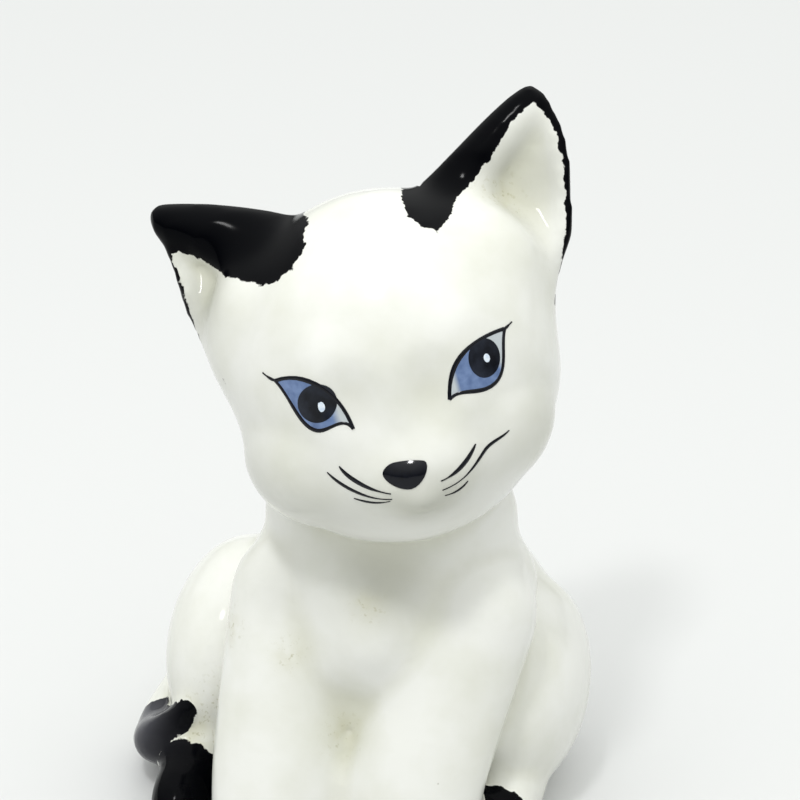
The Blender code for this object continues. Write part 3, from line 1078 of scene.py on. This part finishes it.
class KITTEN_OT_glaze(bpy.types.Operator):
    """Glazes the castings, paints the black enamel, and paints shade and a reflection into the glaze"""

    bl_idname = "kitten.glaze"
    bl_label = "Glaze"

    def execute(self, context):
        glaze, foot = glaze_finish(), foot_finish()
        clay = bpy.data.objects["whole_clay"]
        tree, depths = hollows_of(clay)
        for obj in [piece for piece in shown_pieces() if piece.name.startswith("glazed_")]:
            points = corners_of(obj)
            black = np.full(len(points), UNPAINTED)
            if "ear" in obj.name or "head" in obj.name:
                black = ear_black(points)
            elif "haunch" in obj.name:
                black = paw_black(points, 1 if "left" in obj.name else -1)
            elif "tail" in obj.name:
                black = tail_black(points)
            set_values(obj, "black", np.clip(black, UNPAINTED, -UNPAINTED))
            # Stains, partly painted shade in the creases and the ear dishes.
            set_values(obj, "stain", stained_and_shaded(points))
            # Painted shade under the head, in the ear dishes and at the collar.
            set_values(obj, "veil", painted_light_strength(points, (head_axes(), HEAD_PAINTED_SHADES), (SEAT, SEAT_PAINTED_SHADES)))
            # Painted reflection on the tail's black.
            set_values(obj, "sheen", painted_light_strength(points, (SEAT, TAIL_PAINTED_REFLECTIONS)))
            # Painted shade in the hollows, partly glaze pooled there.
            set_values(obj, "hollow", depths[[tree.find(point)[1] for point in points]])
            obj.data.materials.clear()
            obj.data.materials.append(glaze)
            obj.data.materials.append(foot)
            faces = obj.data.polygons
            normals, centres = np.empty(len(faces) * 3), np.empty(len(faces) * 3)
            faces.foreach_get("normal", normals)
            faces.foreach_get("center", centres)
            down = normals.reshape(-1, 3)[:, 2] < -0.9
            under = centres.reshape(-1, 3)[:, 2] < CAD_BOX[0].z + 0.0004
            faces.foreach_set("material_index", (down & under).astype(np.int32))
        bpy.data.objects.remove(clay)
        return {"FINISHED"}


# ---- eyes, nose and whiskers: films of enamel laid on the head ----
def front_of(casting_tree, axes, flat):
    """The point on the head behind a place in the plane of its face, and the way out of the clay there."""
    start = axes @ Vector((flat[0], -0.06, flat[1]))
    way = axes.to_3x3() @ Vector((0, 1, 0))
    spot, normal, _, _ = casting_tree.ray_cast(start, way)
    if spot is None:
        raise RuntimeError(f"the enamel at {flat} misses the head")
    return spot, normal


def curve_through(pieces, steps=14):
    """Places along a chain of cubic curves, each given by four points in millimetres."""
    places = []
    for piece in pieces:
        points = [Vector((x, z)) / 1000 for x, z in piece]
        start = 1 if places else 0
        places += [bezier(points, step / steps) for step in range(start, steps + 1)]
    return places


def new_film(name, rows, closed, height, finish):
    """A closed film over rows of places on the face, domed by the height given for each place."""
    tree = BVHTree.FromObject(bpy.data.objects["glazed_head"], bpy.context.evaluated_depsgraph_get())
    axes = head_axes()
    clay = bmesh.new()
    tops, bottoms = [], []
    for row_index, row in enumerate(rows):
        top, bottom = [], []
        for index, flat in enumerate(row):
            spot, normal = front_of(tree, axes, flat)
            top.append(clay.verts.new(spot + normal * height(row_index, index)))
            bottom.append(clay.verts.new(spot - normal * 0.0004))
        tops.append(top)
        bottoms.append(bottom)
    count = len(rows[0])
    pairs = [(index, (index + 1) % count) for index in range(count if closed else count - 1)]

    def quad(row, other, here, after):
        clay.faces.new((row[here], row[after], other[after], other[here]))

    for row in range(len(rows) - 1):
        for here, after in pairs:
            quad(tops[row], tops[row + 1], here, after)
            quad(bottoms[row + 1], bottoms[row], here, after)
    for here, after in pairs:
        quad(tops[-1], bottoms[-1], here, after)
        if not closed:
            quad(bottoms[0], tops[0], here, after)
    if closed:
        clay.faces.new(tops[0])
        clay.faces.new(bottoms[0][::-1])
    else:
        for index in (0, count - 1):
            for row in range(len(rows) - 1):
                ends = (tops[row][index], tops[row + 1][index])
                clay.faces.new((*ends, bottoms[row + 1][index], bottoms[row][index]))
    bmesh.ops.recalc_face_normals(clay, faces=clay.faces)
    mesh = bpy.data.meshes.new(name)
    clay.to_mesh(mesh)
    clay.free()
    film = bpy.data.objects.new(name, mesh)
    bpy.context.scene.collection.objects.link(film)
    film.data.materials.append(finish)
    activate(film)
    bpy.ops.object.shade_smooth_by_angle(angle=math.radians(50))
    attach(film, BODY)
    return film


def patch(name, outline, centre, rings, lift, dome, finish):
    """A film inside a closed outline: lift at its edge, and domed by a little more at its middle."""
    middle = Vector(centre) / 1000
    rows = []
    for ring in range(1, rings + 1):
        rows.append([middle.lerp(place, ring / rings) for place in outline])

    def height(row, index):
        out = (row + 1) / rings
        return (lift + dome * (1 - out * out)) / 1000

    return new_film(name, rows, True, height, finish)


def stroke(name, pieces, width, lift, finish, blunt=0.0):
    """A brushed line along a curve, thin where the brush lands and leaves."""
    places = curve_through(pieces)
    rows = [[], [], [], [], []]
    last = len(places) - 1
    for index, place in enumerate(places):
        way = (places[min(index + 1, last)] - places[max(index - 1, 0)]).normalized()
        side = Vector((-way.y, way.x))
        share = index / last
        swell = max(math.sin(math.pi * min(share * 1.1 + 0.04, 0.985)) ** 0.6, blunt)
        for row, offset in zip(rows, (-1, -0.6, 0, 0.6, 1)):
            row.append(place + side * offset * swell * width / 2000)

    def height(row, index):
        return lift * (0.35, 0.85, 1, 0.85, 0.35)[row] / 1000

    return new_film(name, rows, False, height, finish)


def ellipse(centre, across, up, count=40):
    """Places round an ellipse, in metres, from its middle and two half axes in millimetres."""
    places = []
    for step in range(count):
        angle = math.tau * step / count
        place = Vector(centre) + Vector(across) * math.cos(angle) + Vector(up) * math.sin(angle)
        places.append(place / 1000)
    return places


EYES = {
    1: {
        "upper": [[(8.4, -2.6), (9.6, 2.6), (12.6, 5.8), (19.4, 4.9)]],
        "flick": [[(19.0, 4.7), (19.6, 4.8), (20.2, 5), (20.9, 5.3)]],
        "lower": [
            [(8.4, -2.6), (10.2, -1.4), (12, -2.6), (14.3, -2.8)],
            [(14.3, -2.8), (18.6, -3), (18, 2.4), (19.6, 4.9)],
        ],
        "centre": (14.6, 1.2),
        "pupil": ((15.3, 1.9), (2.35, -0.95), (0.8, 2.95)),
        "glint": ((15.6, 1.8), (0.55, -0.2), (0.1, 0.8)),
    },
    -1: {
        "upper": [[(-17.6, 6.8), (-11.5, 8.2), (-7.9, 3), (-7.4, -3)]],
        "flick": [[(-17.4, 6.8), (-18, 6.9), (-18.6, 7.3), (-19.4, 8.2)]],
        "lower": [
            [(-17.6, 6.8), (-15.6, 3.8), (-15.9, -1), (-13, -2)],
            [(-13, -2), (-11.2, -2.5), (-8.4, -0.4), (-7.4, -3)],
        ],
        "centre": (-12, 2),
        "pupil": ((-11.8, 2.3), (3.1, -0.55), (0.9, 3.05)),
        "glint": ((-11.3, 1.7), (0.6, -0.1), (0.15, 0.9)),
    },
}
WHISKERS = {
    "right_upper": ([[(-11.3, -8.4), (-10.6, -10.6), (-7.8, -12.8), (-4.3, -13.9)]], 0.75),
    "right_middle": ([[(-13.5, -9), (-12.2, -11.5), (-9.2, -14.4), (-4.4, -14.9)]], 0.55),
    "right_lower": ([[(-10.5, -14.1), (-8.8, -15.1), (-6.6, -15.5), (-4.8, -15.2)]], 0.4),
    "left_upper": ([[(10.4, -10.7), (8.8, -12.6), (6.2, -13.9), (3.8, -14)]], 0.75),
    "left_middle": (
        [
            [(16, -10.6), (14.6, -11.4), (12.6, -11.4), (11.4, -12.4)],
            [(11.4, -12.4), (9.6, -13.8), (7.6, -15.6), (3.6, -15.6)],
        ],
        0.55,
    ),
    "left_lower": ([[(7.7, -15.9), (6.6, -16.8), (5.2, -17.1), (3.7, -16.7)]], 0.4),
}
NOSE = [
    [(-4.7, -10.6), (-4.5, -9.8), (-3.4, -9.2), (-2.4, -9.2)],
    [(-2.4, -9.2), (-0.8, -9.2), (1.2, -9.6), (2.2, -10.1)],
    [(2.2, -10.1), (3.1, -10.8), (1.2, -13.7), (-0.9, -13.8)],
    [(-0.9, -13.8), (-2.6, -13.8), (-4.8, -11.8), (-4.7, -10.6)],
]


def black_finish():
    """Glossy blue-black enamel."""
    black = Finish("black_enamel")
    tone = black.ramp(black.noise(900, 3), 0.35, 0.7)
    colour = black.blend(tone, colour_of("line"), colour_of("line_pale"))
    return black.look(colour, black.ramp(black.noise(500, 2), 0.3, 0.7, 0.08, 0.16), 0.25)


def navy_finish():
    """The navy enamel of the pupils, in clouds of black."""
    navy = Finish("navy_enamel")
    tone = navy.ramp(navy.noise(260, 3), 0.35, 0.65)
    colour = navy.blend(tone, colour_of("pupil_dark"), colour_of("pupil"))
    return navy.look(colour, navy.ramp(tone, 0, 1, 0.08, 0.14), 0.2)


def iris_finish():
    """Blue wash that pales towards the corners of the eye."""
    iris = Finish("iris_enamel")
    pale = iris.ramp(iris.attribute("pale"), 0.3, 0.7)
    brushed = iris.ramp(iris.noise(700, 4), 0.3, 0.7)
    blue = iris.blend(brushed, colour_of("iris"), colour_of("iris_pale"))
    colour = iris.blend(pale, blue, colour_of("corner"))
    return iris.look(colour, iris.ramp(brushed, 0, 1, 0.1, 0.18), 0.25)


def glint_finish():
    """A painted highlight: the pale dot of enamel in the pupil."""
    glint = Finish("glint_enamel")
    tone = glint.ramp(glint.noise(1500, 2), 0.3, 0.7)
    return glint.look(glint.blend(tone, colour_of("glint"), colour_of("glint_pale")), 0.12)


class KITTEN_OT_eyes(bpy.types.Operator):
    """Paints the eyes: iris, pupil, a painted highlight and lid lines"""

    bl_idname = "kitten.eyes"
    bl_label = "Eyes"

    def execute(self, context):
        iris, black, glint, navy = iris_finish(), black_finish(), glint_finish(), navy_finish()
        for side, name in SIDES.items():
            eye = EYES[side]
            outline = curve_through(eye["upper"]) + curve_through(eye["lower"])[::-1][1:-1]
            film = patch(f"{name}_iris", outline, eye["centre"], 8, 0.04, 0.05, iris)
            flat = within_axes(corners_of(film), head_axes())
            if side > 0:
                pale = np.maximum((flat[:, 0] - 15.5) / 3 + (flat[:, 2] - 0.5) / 5, (11.2 - flat[:, 0]) / 2)
            else:
                pale = (flat[:, 0] + 11) / 3
            set_values(film, "pale", np.clip(pale, 0, 1))
            pupil = ellipse(*eye["pupil"])
            patch(f"{name}_pupil", pupil, eye["pupil"][0], 6, 0.1, 0.08, navy)
            # The glint: a painted highlight in the pupil.
            dot = ellipse(*eye["glint"], 20)
            patch(f"{name}_glint", dot, eye["glint"][0], 3, 0.16, 0.06, glint)
            stroke(f"{name}_upper_lid", eye["upper"], 0.8, 0.16, black, 0.75)
            stroke(f"{name}_lower_lid", eye["lower"], 0.68, 0.15, black, 0.75)
            stroke(f"{name}_lid_flick", eye["flick"], 0.5, 0.14, black, 0.5)
        return {"FINISHED"}


class KITTEN_OT_muzzle(bpy.types.Operator):
    """Paints the nose and the whiskers"""

    bl_idname = "kitten.muzzle"
    bl_label = "Nose and whiskers"

    def execute(self, context):
        black = bpy.data.materials["black_enamel"]
        outline = curve_through(NOSE, 9)[:-1]
        patch("nose", outline, (-1.1, -11.4), 7, 0.12, 0.35, black)
        for name, (pieces, width) in WHISKERS.items():
            stroke(f"{name}_whisker", pieces, width, 0.13, black, 0.3)
        return {"FINISHED"}


# How far the picture is shifted sideways and up, as a share of its width.
CAMERA_SHIFT = (2 / 800, -32 / 800)
# The studio's light: its strength from the side and from above, its tint, and one lamp in metres and watts.
SKY_STRENGTHS, SKY_COLOUR = (0.15, 1.8), (0.985, 1.0, 0.98)
KEY_PLACE, KEY_SIZE, KEY_ENERGY = (-0.05, -0.35, 0.75), 0.08, 1.5


def look_from(azimuth, elevation):
    """The way from the object to a camera at those angles."""
    return Vector(
        (
            math.sin(azimuth) * math.cos(elevation),
            -math.cos(azimuth) * math.cos(elevation),
            math.sin(elevation),
        )
    )


class KITTEN_OT_stage(bpy.types.Operator):
    """Sets the floor, the lights and the camera"""

    bl_idname = "kitten.stage"
    bl_label = "Stage"

    def execute(self, context):
        settings = context.scene.kitten_stage
        deselect()
        bpy.ops.mesh.primitive_plane_add(size=4)
        floor = context.object
        floor.name = "floor"
        floor.data.materials.append(Finish("backdrop").look(colour_of("backdrop"), 0.7))
        floor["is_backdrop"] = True
        back = look_from(settings.azimuth, settings.elevation)
        target = SEAT @ Vector(settings.look_at)
        bpy.ops.object.camera_add(
            location=target + back * settings.distance,
            rotation=(-back).to_track_quat("-Z", "Y").to_euler(),
        )
        camera = context.object
        camera.name = "camera"
        camera.data.sensor_width = 36
        camera.data.lens = settings.lens
        camera.data.shift_x, camera.data.shift_y = CAMERA_SHIFT
        camera.data.clip_start = 0.01
        context.scene.camera = camera
        world = bpy.data.worlds.new("studio")
        world.use_nodes = True
        nodes = Nodes(world)
        way, parts = nodes.new("TexCoord"), nodes.new("SeparateXYZ")
        nodes.feed(way.outputs["Generated"], parts.inputs[0])
        background = nodes.tree.nodes["Background"]
        nodes.feed(nodes.ramp(parts.outputs["Z"], 0, 1, *SKY_STRENGTHS), background.inputs["Strength"])
        nodes.feed(SKY_COLOUR, background.inputs["Color"])
        context.scene.world = world
        bpy.ops.object.light_add(type="AREA", location=KEY_PLACE)
        key = context.object
        key.name = "key_light"
        key.data.size, key.data.energy = KEY_SIZE, KEY_ENERGY
        key.rotation_euler = (target - key.location).to_track_quat("-Z", "Y").to_euler()
        context.scene.view_settings.view_transform = "Standard"
        return {"FINISHED"}


class KITTEN_PT_panel(bpy.types.Panel):
    """Lists the steps of the figurine"""

    bl_idname = "KITTEN_PT_panel"
    bl_label = "Kitten"
    bl_space_type = "VIEW_3D"
    bl_region_type = "UI"
    bl_category = "Kitten"

    def draw(self, context):
        scene = context.scene
        for settings in (scene.kitten_clay, scene.kitten_colours, scene.kitten_stage):
            for name in settings.bl_rna.properties.keys():
                if name not in ("rna_type", "name"):
                    self.layout.prop(settings, name)
        for step in STEPS:
            self.layout.operator(step.bl_idname)


STEPS = (
    KITTEN_OT_clay,
    KITTEN_OT_castings,
    KITTEN_OT_glaze,
    KITTEN_OT_eyes,
    KITTEN_OT_muzzle,
    KITTEN_OT_stage,
)
CLASSES = (KittenClay, KittenColours, KittenStage, *STEPS, KITTEN_PT_panel)


def register():
    """Registers the classes and their settings."""
    for cls in CLASSES:
        bpy.utils.register_class(cls)
    bpy.types.Scene.kitten_clay = PointerProperty(type=KittenClay)
    bpy.types.Scene.kitten_colours = PointerProperty(type=KittenColours)
    bpy.types.Scene.kitten_stage = PointerProperty(type=KittenStage)


def unregister():
    """Takes the settings and the classes away again."""
    del bpy.types.Scene.kitten_clay, bpy.types.Scene.kitten_colours, bpy.types.Scene.kitten_stage
    for cls in reversed(CLASSES):
        bpy.utils.unregister_class(cls)


def main():
    """Runs every step."""
    register()
    bpy.ops.kitten.clay()
    bpy.ops.kitten.castings()
    bpy.ops.kitten.glaze()
    bpy.ops.kitten.eyes()
    bpy.ops.kitten.muzzle()
    bpy.ops.kitten.stage()


if __name__ == "__main__":
    main()
